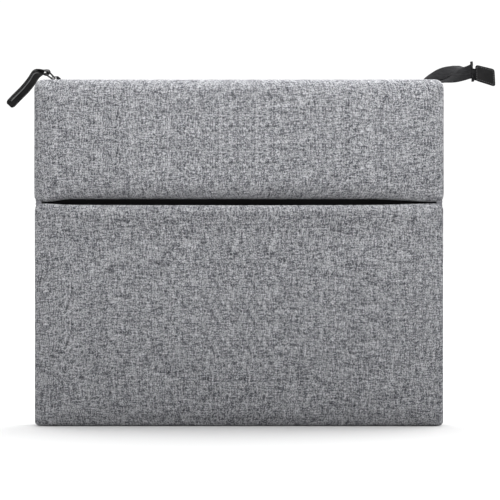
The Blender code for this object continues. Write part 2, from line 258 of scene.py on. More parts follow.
def add_block(low, high, rounding=0.0):
    """A box between two corners with its edges rounded."""
    deselect()
    bpy.ops.mesh.primitive_cube_add(size=1, location=(low + high) / 2, scale=high - low)
    block = settle(bpy.context.object)
    if rounding:
        apply_modifier(block, "BEVEL", width=rounding, segments=2)
    return block


def add_sheet(across, along, shape, thickness):
    """A sheet whose point at shares (u, v), from 0 to 1, lies at shape(u, v)."""
    sheet = add_grid(across, along)
    flat = points_of(sheet)
    put_points(sheet, np.array([shape(x + 0.5, y + 0.5) for x, y, _ in flat]))
    face_outwards(sheet)
    apply_modifier(sheet, "SOLIDIFY", thickness=thickness, offset=0.0, use_even_offset=True)
    return sheet


def add_plate(outlines, thickness, rounding, place):
    """A flat plate with rounded rims; outlines after the first are its holes."""
    curve = bpy.data.curves.new("outline", "CURVE")
    curve.dimensions = "2D"
    curve.fill_mode = "BOTH"
    curve.extrude = thickness / 2 - rounding
    curve.bevel_depth = rounding
    curve.bevel_resolution = 2
    curve.offset = -rounding
    for points in outlines:
        spline = curve.splines.new("POLY")
        spline.points.add(len(points) - 1)
        for slot, point in zip(spline.points, points):
            slot.co = (point[0], point[1], 0, 1)
        spline.use_cyclic_u = True
    plate = bpy.data.objects.new("plate", curve)
    bpy.context.scene.collection.objects.link(plate)
    activate(plate)
    bpy.ops.object.convert(target="MESH")
    plate = bpy.context.object
    plate.matrix_world = place
    settle(plate)
    return face_outwards(plate)


def mirrored(half_outline):
    """A closed outline from its upper half, which runs along +X."""
    return half_outline + [(x, -y) for x, y in reversed(half_outline)]


def in_mm(outline):
    """An outline given in millimetres, in metres."""
    return [(x * MM, y * MM) for x, y in outline]


def rounded_corners(corners, radius, steps=5):
    """The outline through the corners with each one turned on an arc."""
    outline = []
    count = len(corners)
    for index, corner in enumerate(corners):
        here = Vector(corner)
        before = (Vector(corners[index - 1]) - here).normalized()
        after = (Vector(corners[(index + 1) % count]) - here).normalized()
        for step in range(steps + 1):
            share = step / steps
            first = here + before * radius * (1 - share)
            second = here + after * radius * share
            outline.append(first.lerp(second, share))
    return outline


def smooth_route(points, steps):
    """Points along a smooth curve through the given ones."""
    route = []
    for index in range(len(points) - 1):
        before = points[max(index - 1, 0)]
        start = points[index]
        end = points[index + 1]
        after = points[min(index + 2, len(points) - 1)]
        for step in range(steps):
            t = step / steps
            curve = (2 * before - 5 * start + 4 * end - after) * t**2
            curve += (3 * start - before - 3 * end + after) * t**3
            route.append(0.5 * (2 * start + (end - before) * t + curve))
    route.append(points[-1])
    return route


def join_pieces(pieces):
    """Makes one object of several; the first one keeps its name."""
    deselect()
    for piece in pieces:
        piece.select_set(True)
    bpy.context.view_layer.objects.active = pieces[0]
    if len(pieces) > 1:
        bpy.ops.object.join()
    return bpy.context.view_layer.objects.active


def copy_to(model, places):
    """One object made of a copy of the model at each of the places."""
    copies = []
    for place in places:
        copy = model.copy()
        copy.data = model.data.copy()
        copy.data.transform(place)
        bpy.context.scene.collection.objects.link(copy)
        copies.append(copy)
    joined = join_pieces(copies)
    bpy.data.objects.remove(model)
    return joined


def spaced(route, pitch):
    """(point, direction) pairs at even steps along a route."""
    found = []
    left = pitch / 2
    for start, end in zip(route, route[1:]):
        step = end - start
        while left <= step.length:
            found.append((start + step.normalized() * left, step.normalized()))
            left += pitch
        left -= step.length
    return found


def add_pellet(size, segments=8, rings=6):
    """An egg-shaped tooth or stitch at the origin."""
    deselect()
    bpy.ops.mesh.primitive_uv_sphere_add(segments=segments, ring_count=rings, radius=0.5)
    pellet = bpy.context.object
    pellet.scale = size
    return settle(pellet)


def stitch_row(routes, outward, pitch=SEAM_PITCH, thick=SEAM_THREAD):
    """Thread stitches along routes; outward gives the surface's direction at a point."""
    stitch = add_pellet((pitch * 0.74, thick, thick * 0.8), 6, 5)
    places = []
    for route in routes:
        for point, along in spaced(route, pitch):
            up = outward(point).normalized()
            side = up.cross(along).normalized()
            turn = Matrix((along, side, along.cross(side))).transposed().to_4x4()
            places.append(Matrix.Translation(point) @ turn)
    return copy_to(stitch, places)


# ---------------------------------------------------------------- finishes


class Recipe:
    """A material under construction."""

    def __init__(self, name, roughness, metallic=0.0):
        self.material = bpy.data.materials.new(name)
        self.material.use_nodes = True
        self.tree = self.material.node_tree
        self.shader = self.tree.nodes["Principled BSDF"]
        self.shader.inputs["Roughness"].default_value = roughness
        self.shader.inputs["Metallic"].default_value = metallic
        self.place = self.add("TexCoord").outputs["Object"]

    def connect(self, socket, value):
        if isinstance(value, bpy.types.NodeSocket):
            self.tree.links.new(value, socket)
        else:
            socket.default_value = value

    def add(self, kind, inputs=None, **settings):
        node = self.tree.nodes.new("ShaderNode" + kind)
        for key, value in settings.items():
            setattr(node, key, value)
        for key, value in (inputs or {}).items():
            self.connect(node.inputs[key], value)
        return node

    def calc(self, operation, first, second=0.0, third=0.0):
        inputs = {0: first, 1: second, 2: third}
        return self.add("Math", inputs, operation=operation).outputs[0]

    def join(self, x, y, z):
        return self.add("CombineXYZ", {0: x, 1: y, 2: z}).outputs[0]

    def noise(self, vector, scale, detail=2.0):
        inputs = {"Vector": vector, "Scale": scale, "Detail": detail}
        return self.add("TexNoise", inputs).outputs["Fac"]

    def ramp(self, value, stops):
        """A colour that runs through the (position, colour) stops."""
        ramp = self.add("ValToRGB", {"Fac": value})
        elements = ramp.color_ramp.elements
        while len(elements) < len(stops):
            elements.new(0.5)
        for element, (position, colour) in zip(elements, stops):
            element.position = position
            element.color = (*colour, 1.0)
        return ramp.outputs["Color"]

    def mix(self, share, first, second):
        node = self.add("Mix", {0: share}, data_type="RGBA")
        self.connect(node.inputs[6], first)
        self.connect(node.inputs[7], second)
        return node.outputs[2]

    def colour(self, value):
        self.connect(self.shader.inputs["Base Color"], value)

    def roughness(self, value, low, high):
        scaled = self.add("MapRange", {"Value": value, "To Min": low, "To Max": high})
        self.connect(self.shader.inputs["Roughness"], scaled.outputs[0])

    def bump(self, height, distance, strength=1.0):
        inputs = {"Height": height, "Distance": distance, "Strength": strength}
        if self.shader.inputs["Normal"].links:
            inputs["Normal"] = self.shader.inputs["Normal"].links[0].from_socket
        node = self.add("Bump", inputs)
        self.connect(self.shader.inputs["Normal"], node.outputs["Normal"])

    def sheen(self, weight, roughness, tint=(1.0, 1.0, 1.0)):
        self.shader.inputs["Sheen Weight"].default_value = weight
        self.shader.inputs["Sheen Roughness"].default_value = roughness
        self.shader.inputs["Sheen Tint"].default_value = (*tint, 1.0)


def cloth_axes(recipe, middle):
    """Cloth coordinates that run over the panel's front and on round its edges."""
    split = recipe.add("SeparateXYZ", {0: recipe.place})
    x, y, z = split.outputs
    side = recipe.calc("SIGN", x)
    rise = recipe.calc("SIGN", recipe.calc("SUBTRACT", z, middle))
    return recipe.calc("MULTIPLY_ADD", side, y, x), recipe.calc("MULTIPLY_ADD", rise, y, z)


def plain_weave(recipe, u, v, yarn):
    """(row across, row up, which yarn is on top, crown height) of a plain weave."""
    across = recipe.calc("DIVIDE", u, yarn)
    up = recipe.calc("DIVIDE", v, yarn)
    column = recipe.calc("FLOOR", across)
    row = recipe.calc("FLOOR", up)
    over = recipe.calc("FLOORED_MODULO", recipe.calc("ADD", column, row), 2.0)
    crowns = []
    for value in (across, up):
        wave = recipe.calc("SINE", recipe.calc("MULTIPLY", value, math.pi))
        crowns.append(recipe.calc("ABSOLUTE", wave))
    height = recipe.calc("MULTIPLY", crowns[0], crowns[1])
    return column, row, over, height


def melange_cloth(name, middle):
    """Plain weave of mottled light and dark grey yarns with slubs."""
    recipe = Recipe(name, 0.92)
    u, v = cloth_axes(recipe, middle)
    column, row, over, height = plain_weave(recipe, u, v, YARN)
    run_u = recipe.calc("DIVIDE", u, SLUB)
    run_v = recipe.calc("DIVIDE", v, SLUB)
    weft = recipe.noise(recipe.join(run_u, recipe.calc("MULTIPLY", row, 1.37), 0.3), 1.0)
    warp = recipe.noise(recipe.join(recipe.calc("MULTIPLY", column, 1.37), run_v, 7.3), 1.0)
    streak = recipe.calc("MULTIPLY_ADD", recipe.mix(over, weft, warp), 3.4, -1.2)
    speckle = recipe.add("TexWhiteNoise", {"Vector": recipe.join(column, row, 0.0)})
    shade = recipe.mix(0.5, streak, speckle.outputs["Value"])
    dark = (0.055, 0.057, 0.068)
    middle_grey = (0.285, 0.291, 0.315)
    light = (0.74, 0.745, 0.77)
    recipe.colour(recipe.ramp(shade, [(0.27, dark), (0.5, middle_grey), (0.76, light)]))
    recipe.roughness(shade, 0.95, 0.85)
    recipe.bump(height, 0.22 * MM, 0.7)
    recipe.bump(recipe.noise(recipe.place, 60.0), 0.5 * MM, 0.35)
    recipe.sheen(0.12, 0.5)
    return recipe.material


def lining_cloth():
    """Smooth black nylon with a fine weave and soft creases."""
    recipe = Recipe("lining_nylon", 0.6)
    u, v = cloth_axes(recipe, 0.15)
    _, _, over, height = plain_weave(recipe, u, v, 0.45 * MM)
    tone = recipe.noise(recipe.place, 35.0)
    recipe.colour(recipe.ramp(tone, [(0.3, (0.003, 0.003, 0.0035)), (0.7, (0.007, 0.007, 0.008))]))
    recipe.roughness(over, 0.5, 0.68)
    recipe.bump(height, 0.08 * MM, 0.6)
    recipe.sheen(0.03, 0.4)
    recipe.shader.inputs["Specular IOR Level"].default_value = 0.2
    return recipe.material


def sewing_thread():
    """Grey polyester thread with its twist."""
    recipe = Recipe("sewing_thread", 0.7)
    wave = recipe.add("TexWave", {"Vector": recipe.place, "Scale": 900.0}, bands_direction="DIAGONAL")
    tone = wave.outputs["Fac"]
    recipe.colour(recipe.ramp(tone, [(0.0, (0.16, 0.16, 0.18)), (1.0, (0.34, 0.345, 0.37))]))
    recipe.bump(tone, 0.08 * MM)
    recipe.sheen(0.3, 0.4)
    return recipe.material


def black_thread():
    """Black bonded thread that catches a little light."""
    recipe = Recipe("black_thread", 0.5)
    wave = recipe.add("TexWave", {"Vector": recipe.place, "Scale": 1100.0}, bands_direction="DIAGONAL")
    tone = wave.outputs["Fac"]
    recipe.colour(recipe.ramp(tone, [(0.0, (0.05, 0.05, 0.052)), (1.0, (0.17, 0.17, 0.175))]))
    recipe.bump(tone, 0.06 * MM)
    return recipe.material


def zip_tape_cloth():
    """Black polyester tape woven with fine ribs along its length."""
    recipe = Recipe("zip_tape_cloth", 0.8)
    split = recipe.add("SeparateXYZ", {0: recipe.place})
    x, y, z = split.outputs
    across = recipe.calc("ADD", recipe.calc("MULTIPLY", y, 0.9), recipe.calc("MULTIPLY", z, 0.8))
    rib = recipe.calc("SINE", recipe.calc("DIVIDE", across, 0.16 * MM))
    pick = recipe.calc("SINE", recipe.calc("DIVIDE", x, 0.10 * MM))
    height = recipe.calc("MULTIPLY_ADD", pick, 0.4, rib)
    tone = recipe.noise(recipe.join(recipe.calc("MULTIPLY", x, 0.2), y, z), 900.0)
    recipe.colour(recipe.ramp(tone, [(0.3, (0.006, 0.006, 0.007)), (0.7, (0.024, 0.024, 0.026))]))
    recipe.roughness(tone, 0.7, 0.9)
    recipe.bump(height, 0.06 * MM, 0.7)
    recipe.sheen(0.12, 0.3, (0.85, 0.87, 0.9))
    recipe.shader.inputs["Specular IOR Level"].default_value = 0.25
    return recipe.material


def coil_nylon():
    """Black nylon monofilament, smooth with a faint drawn grain."""
    recipe = Recipe("coil_nylon", 0.35)
    tone = recipe.noise(recipe.place, 700.0)
    recipe.colour(recipe.ramp(tone, [(0.3, (0.012, 0.012, 0.013)), (0.7, (0.028, 0.028, 0.03))]))
    recipe.roughness(tone, 0.28, 0.45)
    recipe.bump(tone, 0.02 * MM, 0.4)
    return recipe.material


def lacquered_metal():
    """Black lacquer over cast zinc, slightly pitted and worn."""
    recipe = Recipe("lacquered_metal", 0.3, 0.6)
    fine = recipe.noise(recipe.place, 1500.0, 3.0)
    broad = recipe.noise(recipe.place, 260.0, 4.0)
    recipe.colour(recipe.ramp(broad, [(0.45, (0.018, 0.018, 0.02)), (0.75, (0.09, 0.088, 0.085))]))
    recipe.roughness(broad, 0.22, 0.45)
    recipe.bump(fine, 0.03 * MM, 0.5)
    return recipe.material


def grained_leather():
    """Black leather with a pebbled grain and softly worn high spots."""
    recipe = Recipe("grained_leather", 0.5)
    warp = recipe.noise(recipe.place, 420.0, 3.0)
    inputs = {"Vector": recipe.place, "Scale": 1150.0, "Randomness": 0.9}
    pebble = recipe.add("TexVoronoi", inputs, feature="DISTANCE_TO_EDGE").outputs["Distance"]
    grain = recipe.calc("MULTIPLY_ADD", recipe.calc("MINIMUM", pebble, 0.22), 3.0, warp)
    tone = recipe.noise(recipe.place, 120.0, 3.0)
    recipe.colour(recipe.ramp(tone, [(0.3, (0.004, 0.004, 0.0045)), (0.75, (0.011, 0.0105, 0.011))]))
    recipe.roughness(warp, 0.42, 0.62)
    recipe.bump(grain, 0.09 * MM, 0.6)
    recipe.shader.inputs["Specular IOR Level"].default_value = 0.3
    return recipe.material


def painted_highlight_leather():
    """The same leather painted light grey along a fold: a painted highlight for the shine of the folded
    edge.
    """
    recipe = Recipe("painted_highlight_leather", 0.35)
    tone = recipe.noise(recipe.place, 260.0, 3.0)
    # painted highlight: this light grey stands for light caught by the fold, not for the leather's own
    # colour
    recipe.colour(recipe.ramp(tone, [(0.3, (0.10, 0.10, 0.102)), (0.75, (0.24, 0.24, 0.245))]))
    recipe.roughness(tone, 0.3, 0.5)
    recipe.bump(tone, 0.05 * MM, 0.5)
    return recipe.material


# ---------------------------------------------------------------- studio


def add_lamp(name, kind, place, aim, energy, **settings):
    """A lamp at a place that points at its aim."""
    lamp = bpy.data.lights.new(name, kind)
    lamp.energy = energy
    for key, value in settings.items():
        setattr(lamp, key, value)
    holder = bpy.data.objects.new(name, lamp)
    holder.location = place
    direction = Vector(aim) - Vector(place)
    holder.rotation_euler = direction.to_track_quat("-Z", "Y").to_euler()
    bpy.context.scene.collection.objects.link(holder)
    return holder


def set_camera():
    """A long lens, level and straight in front of the case."""
    camera = bpy.data.cameras.new("camera")
    camera.sensor_width = 36
    camera.lens = LENS
    camera.clip_end = 100
    view = bpy.data.objects.new("camera", camera)
    view.location = CAMERA_AT
    view.rotation_euler = (math.radians(90), 0, 0)
    bpy.context.scene.collection.objects.link(view)
    bpy.context.scene.camera = view
    bpy.context.scene.view_settings.view_transform = "Standard"


def set_surroundings():
    """White to the camera, and a weaker light to everything else."""
    world = bpy.data.worlds.new("white_surroundings")
    world.use_nodes = True
    tree = world.node_tree
    seen = tree.nodes.new("ShaderNodeLightPath").outputs["Is Camera Ray"]
    strength = tree.nodes.new("ShaderNodeMapRange")
    strength.inputs["To Min"].default_value = AMBIENT
    strength.inputs["To Max"].default_value = SEEN_WHITE
    tree.links.new(seen, strength.inputs["Value"])
    background = tree.nodes["Background"]
    background.inputs["Color"].default_value = (1.0, 1.0, 1.0, 1.0)
    tree.links.new(strength.outputs[0], background.inputs["Strength"])
    bpy.context.scene.world = world


def set_lamps():
    """A broad light from above and a softbox over the front; returns the softbox."""
    overhead = math.radians(90)
    add_lamp("overhead_dome", "SUN", (0.1, 0.4, 1.0), (0, 0, 0), DOME, angle=overhead)
    near = {"shape": "RECTANGLE", "size": 0.9, "size_y": 0.25}
    return add_lamp("near_softbox", "AREA", SOFTBOX_AT, SOFTBOX_AIM, KEY, **near)


def set_floor(softbox):
    """A pale floor that the softbox doesn't light."""
    deselect()
    bpy.ops.mesh.primitive_plane_add(size=80, location=(0, 0, -0.3 * MM))
    floor = settle(bpy.context.object)
    floor.name = "floor"
    recipe = Recipe("pale_floor", 0.9)
    tone = recipe.noise(recipe.place, 3.0)
    pale = recipe.ramp(tone, [(0.2, (0.90, 0.90, 0.90)), (0.8, (0.93, 0.93, 0.93))])
    seen = recipe.add("LightPath").outputs["Is Camera Ray"]
    recipe.colour(recipe.mix(seen, (*FLOOR_BOUNCE, 1.0), pale))
    floor.data.materials.append(recipe.material)
    unlit = bpy.data.collections.new("out_of_the_softbox")
    unlit.objects.link(floor)
    unlit.collection_objects[0].light_linking.link_state = "EXCLUDE"
    softbox.light_linking.receiver_collection = unlit


# ---------------------------------------------------------------- fabric panels


def crowd_edges(share):
    """Cells get narrower towards both ends of a width that runs from -1 to 1."""
    return share + EDGE_CROWDING * (share - share**3)


def block_of_cells(low, high, layers, cell=CELL):
    """A closed block: a grid in front, extruded back in layers."""
    size = high - low
    sheet = add_grid(round(size.x / cell), round(size.z / cell))
    flat = points_of(sheet) * 2
    middle = (low + high) / 2
    x = middle.x + crowd_edges(flat[:, 0]) * size.x / 2
    z = middle.z + crowd_edges(flat[:, 1]) * size.z / 2
    put_points(sheet, np.stack([x, np.full(len(x), low.y), z], 1))
    activate(sheet)
    bpy.ops.object.mode_set(mode="EDIT")
    bpy.ops.mesh.select_all(action="SELECT")
    for _ in range(layers):
        step = {"value": (0, size.y / layers, 0)}
        bpy.ops.mesh.extrude_region_move(TRANSFORM_OT_translate=step)
    bpy.ops.object.mode_set(mode="OBJECT")
    return face_outwards(sheet)


def roll_edges(points, low, high, outer, side, bottom, top, depth):
    """Rounds the block's rims on ellipses; outer is -1 for a front panel, 1 for a rear one."""
    x, y, z = points.T
    inner_x = np.clip(x, low.x + side, high.x - side)
    inner_z = np.clip(z, low.z + bottom, high.z - top)
    if outer < 0:
        inner_y = np.maximum(y, low.y + depth)
    else:
        inner_y = np.minimum(y, high.y - depth)
    radius_z = np.where(z < inner_z, bottom, top)
    away = np.stack([(x - inner_x) / side, (y - inner_y) / depth, (z - inner_z) / radius_z], 1)
    length = np.maximum(np.linalg.norm(away, axis=1), 1e-9)
    away *= (np.abs(away).max(1) / length)[:, None]
    return np.stack(
        [inner_x + away[:, 0] * side, inner_y + away[:, 1] * depth, inner_z + away[:, 2] * radius_z],
        1,
    )


def puff(pad, sewn, most):
    """Blows the pad up as cloth, with no point moving further than most."""
    rest = points_of(pad)
    group = pad.vertex_groups.new(name="sewn")
    group.add([int(index) for index in np.flatnonzero(sewn)], 1.0, "REPLACE")
    activate(pad)
    cloth = pad.modifiers.new("Cloth", "CLOTH")
    cloth.settings.quality = 4
    cloth.settings.mass = 0.3
    cloth.settings.tension_stiffness = 30
    cloth.settings.compression_stiffness = 30
    cloth.settings.bending_stiffness = 6
    cloth.settings.vertex_group_mass = "sewn"
    cloth.settings.use_pressure = True
    cloth.settings.uniform_pressure_force = PRESSURE
    cloth.settings.effector_weights.gravity = 0
    cloth.collision_settings.use_collision = False
    cloth.point_cache.frame_start = 1
    cloth.point_cache.frame_end = PUFF_FRAMES
    for number in range(1, PUFF_FRAMES + 1):
        bpy.context.scene.frame_set(number)
    bpy.ops.object.modifier_apply(modifier=cloth.name)
    bpy.context.scene.frame_set(1)
    moved = points_of(pad) - rest
    length = np.maximum(np.linalg.norm(moved, axis=1), 1e-12)
    capped = most * np.tanh(length / most)
    put_points(pad, rest + moved * (capped / length)[:, None])
    pad.vertex_groups.clear()


def slit_opening(x):
    """1 where the slit is fully open and 0 at its closed ends."""
    left = smoothstep(0.0, 1.0, (x + SLIT_END) / SLIT_LEFT_TAPER)
    right = smoothstep(0.0, 1.0, (SLIT_END - x) / SLIT_RIGHT_TAPER)
    return np.minimum(left, right)


def shift_lip(points, lip, closed, upwards):
    """Draws a slit's lip to the closed line at both ends of the slit."""
    shut = 1.0 - slit_opening(points[:, 0])
    away = (points[:, 2] - lip) * upwards
    points[:, 2] += (closed - lip) * shut * (1.0 - smoothstep(0.0, LIP_REACH, away))


def lean_lip(points, lip, upwards, lean, reach):
    """Leans the cloth beside a lip forwards (lean over 0) or back into the slit."""
    away = np.maximum((points[:, 2] - lip) * upwards, 0.0)
    share = slit_opening(points[:, 0]) * 0.75 + 0.25
    points[:, 1] -= lean * share * (1.0 - smoothstep(0.0, reach, away))


def pucker(points, low, high, outer):
    """Small gathers of the cloth along the seams, and a slow wave over the whole panel."""
    x, y, z = points.T
    near_x = np.minimum(x - low.x, high.x - x)
    near_z = np.minimum(z - low.z, high.z - z)
    by_side = np.exp(-np.maximum(near_x, 0) / GATHER_REACH * 3)
    by_end = np.exp(-np.maximum(near_z, 0) / GATHER_REACH * 3)
    side_wave = np.sin(z / (2.3 * MM) + 1.3 * np.sin(z / (9.1 * MM)))
    end_wave = np.sin(x / (2.6 * MM) + 1.7 * np.sin(x / (11.3 * MM)))
    slow = np.sin(x / (31 * MM) + 0.8) * np.sin(z / (23 * MM) + 0.4)
    slow += 0.6 * np.sin(x / (17 * MM) + z / (29 * MM))
    middle_y = (low.y + high.y) / 2
    outer_side = np.clip((y - middle_y) * outer / ((high.y - low.y) / 2), 0.0, 1.0)
    rise = GATHER * (by_side * side_wave + by_end * end_wave) + SLOW_WAVE * slow
    points[:, 1] += outer * outer_side * rise


def finish_panel(panel, low, high, outer, name, nodes):
    """Smooths the blown-up panel, gathers its seams and gives it its cloth."""
    smooth_once(panel)
    points = points_of(panel)
    pucker(points, low, high, outer)
    put_points(panel, points)
    finish = melange_cloth("melange_" + name, (low.z + high.z) / 2)
    dress(panel, name, finish, "case", nodes)


def make_upper_panel():
    """The front panel above the slit."""
    low = Vector((UPPER_LOW.x, UPPER_LOW.y + SWELL * 0.6, SLIT_UPPER_LIP)) - PANEL_SPREAD
    high = Vector((UPPER_HIGH.x, UPPER_HIGH.y, CASE_TOP)) + PANEL_SPREAD
    panel = block_of_cells(low, high, 4)
    points = roll_edges(points_of(panel), low, high, -1, **UPPER_RIMS)
    shift_lip(points, SLIT_UPPER_LIP, SLIT_CLOSED + LIP_MEETING, 1)
    lean_lip(points, SLIT_UPPER_LIP, 1, -UPPER_LIP_LEAN, UPPER_LEAN_REACH)
    put_points(panel, points)
    puff(panel, points[:, 1] > high.y - 3 * MM, SWELL)
    nodes = ("upper_front_cover", "upper_front_padding")
    finish_panel(panel, low, high, -1, "upper_front_panel", nodes)


def make_lower_panel():
    """The front panel below the slit, which is the pocket's outer wall."""
    low = Vector((LOWER_LOW.x, LOWER_LOW.y + SWELL * 0.6, LOWER_LOW.z)) - PANEL_SPREAD
    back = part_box("lower_front_padding")[1].y
    high = Vector((LOWER_HIGH.x, back, SLIT_LOWER_LIP)) + PANEL_SPREAD
    panel = block_of_cells(low, high, 3)
    points = roll_edges(points_of(panel), low, high, -1, **LOWER_RIMS)
    shift_lip(points, SLIT_LOWER_LIP, SLIT_CLOSED - LIP_MEETING, -1)
    lean_lip(points, SLIT_LOWER_LIP, -1, LOWER_LIP_LEAN, LOWER_LEAN_REACH)
    put_points(panel, points)
    puff(panel, points[:, 1] > high.y - 1 * MM, SWELL)
    nodes = ("lower_front_cover", "lower_front_padding")
    finish_panel(panel, low, high, -1, "lower_front_panel", nodes)


def make_rear_panel():
    """The plain panel behind."""
    low = Vector((REAR_LOW.x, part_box("rear_padding")[0].y, REAR_LOW.z)) - PANEL_SPREAD
    high = Vector((REAR_HIGH.x, REAR_HIGH.y - SWELL * 0.6, CASE_TOP)) + PANEL_SPREAD
    panel = block_of_cells(low, high, 3)
    points = roll_edges(points_of(panel), low, high, 1, **REAR_RIMS)
    put_points(panel, points)
    puff(panel, points[:, 1] < low.y + 1 * MM, SWELL)
    finish_panel(panel, low, high, 1, "rear_panel", ("rear_cover", "rear_padding"))


def band_path(half, base, top, corner):
    """Down the left side, along the base and up the right side."""
    flat = half - corner
    turns = [math.radians(90) * step / 8 for step in range(1, 8)]
    path = [Vector((-half, 0, top)), Vector((-half, 0, base + corner))]
    for turn in turns:
        away = Vector((-math.cos(turn), 0, -math.sin(turn)))
        path.append(Vector((-flat, 0, base + corner)) + away * corner)
    path += [Vector((-flat, 0, base)), Vector((flat, 0, base))]
    for turn in turns:
        away = Vector((math.sin(turn), 0, -math.cos(turn)))
        path.append(Vector((flat, 0, base + corner)) + away * corner)
    path += [Vector((half, 0, base + corner)), Vector((half, 0, top))]
    return even_points(path, round((2 * top + 2 * half) / (3 * MM)))


def even_points(route, count):
    """The route's points at even distances."""
    lengths = [0.0]
    for start, end in zip(route, route[1:]):
        lengths.append(lengths[-1] + (end - start).length)
    points = []
    index = 0
    for step in range(count + 1):
        target = lengths[-1] * step / count
        while index < len(route) - 2 and lengths[index + 1] < target:
            index += 1
        span = max(lengths[index + 1] - lengths[index], 1e-12)
        points.append(route[index].lerp(route[index + 1], min(1.0, (target - lengths[index]) / span)))
    return points


def outward_of_case(point):
    """Away from the case's middle on its sides and its base."""
    if point.z < 4 * MM and abs(point.x) < HALF_WIDTH - 4 * MM:
        return Vector((0, 0, -1))
    return Vector((math.copysign(1, point.x), 0, 0))


def add_band(depth, top, bulge, finish, name, nodes):
    """A strip of cloth round the sides and the base, between two y values."""
    path = band_path(HALF_WIDTH - GUSSET_INSET, GUSSET_BASE, top, GUSSET_CORNER)
    last = len(path) - 1

    def shape(u, v):
        index = min(round(v * last), last)
        point = path[index].copy()
        wave = 0.12 * MM * math.sin(index * 1.9 + 1.4 * math.sin(index * 0.37))
        out = bulge * math.sin(math.pi * u) ** 0.7 + wave * (1 - math.sin(math.pi * u))
        point += outward_of_case(point) * out
        point.y = depth[0] + (depth[1] - depth[0]) * u
        return point

    band = add_sheet(8, last, shape, GUSSET_THICKNESS)
    smooth_once(band)
    dress(band, name, finish, "case", nodes)
    return path


def make_gussets(thread):
    """The case's side and base strip with its two seams, and the pocket's narrow strip."""
    finish = melange_cloth("melange_gusset", CASE_TOP / 2)
    low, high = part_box("left_gusset")
    nodes = ("left_gusset", "right_gusset", "bottom_gusset")
    path = add_band((low.y, high.y), high.z, 0.9 * MM, finish, "side_gusset", nodes)
    rows = []
    for y in (low.y + GUSSET_SEAM_INSET, high.y - GUSSET_SEAM_INSET):
        rows.append([p + outward_of_case(p) * GUSSET_THICKNESS + Vector((0, y, 0)) for p in path])
    seams = stitch_row(rows, outward_of_case)
    dress(seams, "gusset_stitches", thread, "case")
    low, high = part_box("left_pocket_gusset")
    nodes = ("left_pocket_gusset", "right_pocket_gusset", "pocket_floor")
    add_band((low.y - 0.2 * MM, high.y), high.z, -1.0 * MM, finish, "pocket_gusset", nodes)


def add_tray(low, high, cuts, thickness):
    """A bag of thin cloth with an open top and softly waving walls."""
    tray = add_block(low, high)
    bpy.ops.object.mode_set(mode="EDIT")
    bpy.ops.mesh.select_all(action="DESELECT")
    bpy.ops.object.mode_set(mode="OBJECT")
    for face in tray.data.polygons:
        face.select = face.normal.z > 0.9
    bpy.ops.object.mode_set(mode="EDIT")
    bpy.ops.mesh.select_mode(type="FACE")
    bpy.ops.mesh.delete(type="FACE")
    bpy.ops.mesh.select_all(action="SELECT")
    bpy.ops.mesh.subdivide(number_cuts=cuts)
    bpy.ops.object.mode_set(mode="OBJECT")
    points = points_of(tray)
    x, y, z = points.T
    inwards = ((low.y + high.y) / 2 - y) / ((high.y - low.y) / 2)
    wave = np.sin(x / (13 * MM) + 1.5 * np.sin(z / (41 * MM))) * np.sin(z / (37 * MM) + x / (90 * MM))
    falloff = smoothstep(0.0, 20 * MM, high.z - z)
    points[:, 1] += inwards * 0.45 * MM * (1 + wave) / 2 * falloff
    put_points(tray, points)
    apply_modifier(tray, "SOLIDIFY", thickness=thickness, offset=-1.0, use_even_offset=True)
    return tray


def make_main_lining(lining):
    """The laptop compartment's bag, from the divider to the rear panel."""
    rear_low, rear_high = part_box("rear_lining")
    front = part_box("divider_lining")[1].y + 0.15 * MM
    low = Vector((rear_low.x, front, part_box("bottom_lining")[0].z))
    high = Vector((rear_high.x, rear_low.y, BAG_TOP))
    bag = add_tray(low, high, 44, BAG_THICKNESS)
    nodes = ("rear_lining", "bottom_lining", "bottom_padding", "left_gusset_lining",
             "right_gusset_lining")
    dress(bag, "main_lining", lining, "case", nodes)


def make_divider(lining):
    """The padded wall between the pocket and the laptop compartment."""
    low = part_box("pocket_back_lining")[0]
    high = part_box("divider_lining")[1]
    divider = block_of_cells(low, high, 2, 6 * MM)
    for outer in (-1, 1):
        put_points(divider, roll_edges(points_of(divider), low, high, outer, **DIVIDER_RIMS))
    smooth_once(divider)
    points = points_of(divider)
    x, y, z = points.T
    wave = np.sin(x / (19 * MM) + np.sin(z / (33 * MM))) * np.sin(z / (27 * MM))
    points[:, 1] += 0.12 * MM * wave
    put_points(divider, points)
    nodes = ("pocket_back_lining", "divider_padding", "divider_lining")
    dress(divider, "padded_divider", lining, "case", nodes)


def make_pocket_lining(lining):
    """The lining on the pocket's front wall."""
    low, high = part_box("pocket_front_lining")
    top = SLIT_LOWER_LIP - 1.2 * MM

    def shape(u, v):
        x = low.x + (high.x - low.x) * u
        z = low.z + (top - low.z) * v
        wave = math.sin(x / (15 * MM) + math.sin(z / (31 * MM))) * math.sin(z / (24 * MM))
        return Vector((x, (low.y + high.y) / 2 + 0.1 * MM * wave, z))

    pocket = add_sheet(90, 50, shape, POCKET_CLOTH)
    points = points_of(pocket)
    lean_lip(points, SLIT_LOWER_LIP, -1, LOWER_LIP_LEAN, LOWER_LEAN_REACH)
    put_points(pocket, points)
    dress(pocket, "pocket_lining", lining, "case", ("pocket_front_lining",))


def make_mouth_facing(thread):
    """The strip of melange cloth sewn over the divider's top rim."""
    low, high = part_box("front_mouth_facing")
    strip = block_of_cells(low, high, 3, 1.8 * MM)
    for outer in (-1, 1):
        put_points(strip, roll_edges(points_of(strip), low, high, outer, **FACING_RIMS))
    finish = melange_cloth("melange_facing", low.z - 10 * MM)
    dress(strip, "mouth_facing", finish, "case", ("front_mouth_facing",))
    middle = (low.y + high.y) / 2
    route = [Vector((x, middle, high.z)) for x in (low.x + 3 * MM, high.x - 3 * MM)]
    row = stitch_row([route], lambda point: UPWARDS)
    dress(row, "facing_stitches", thread, "case")


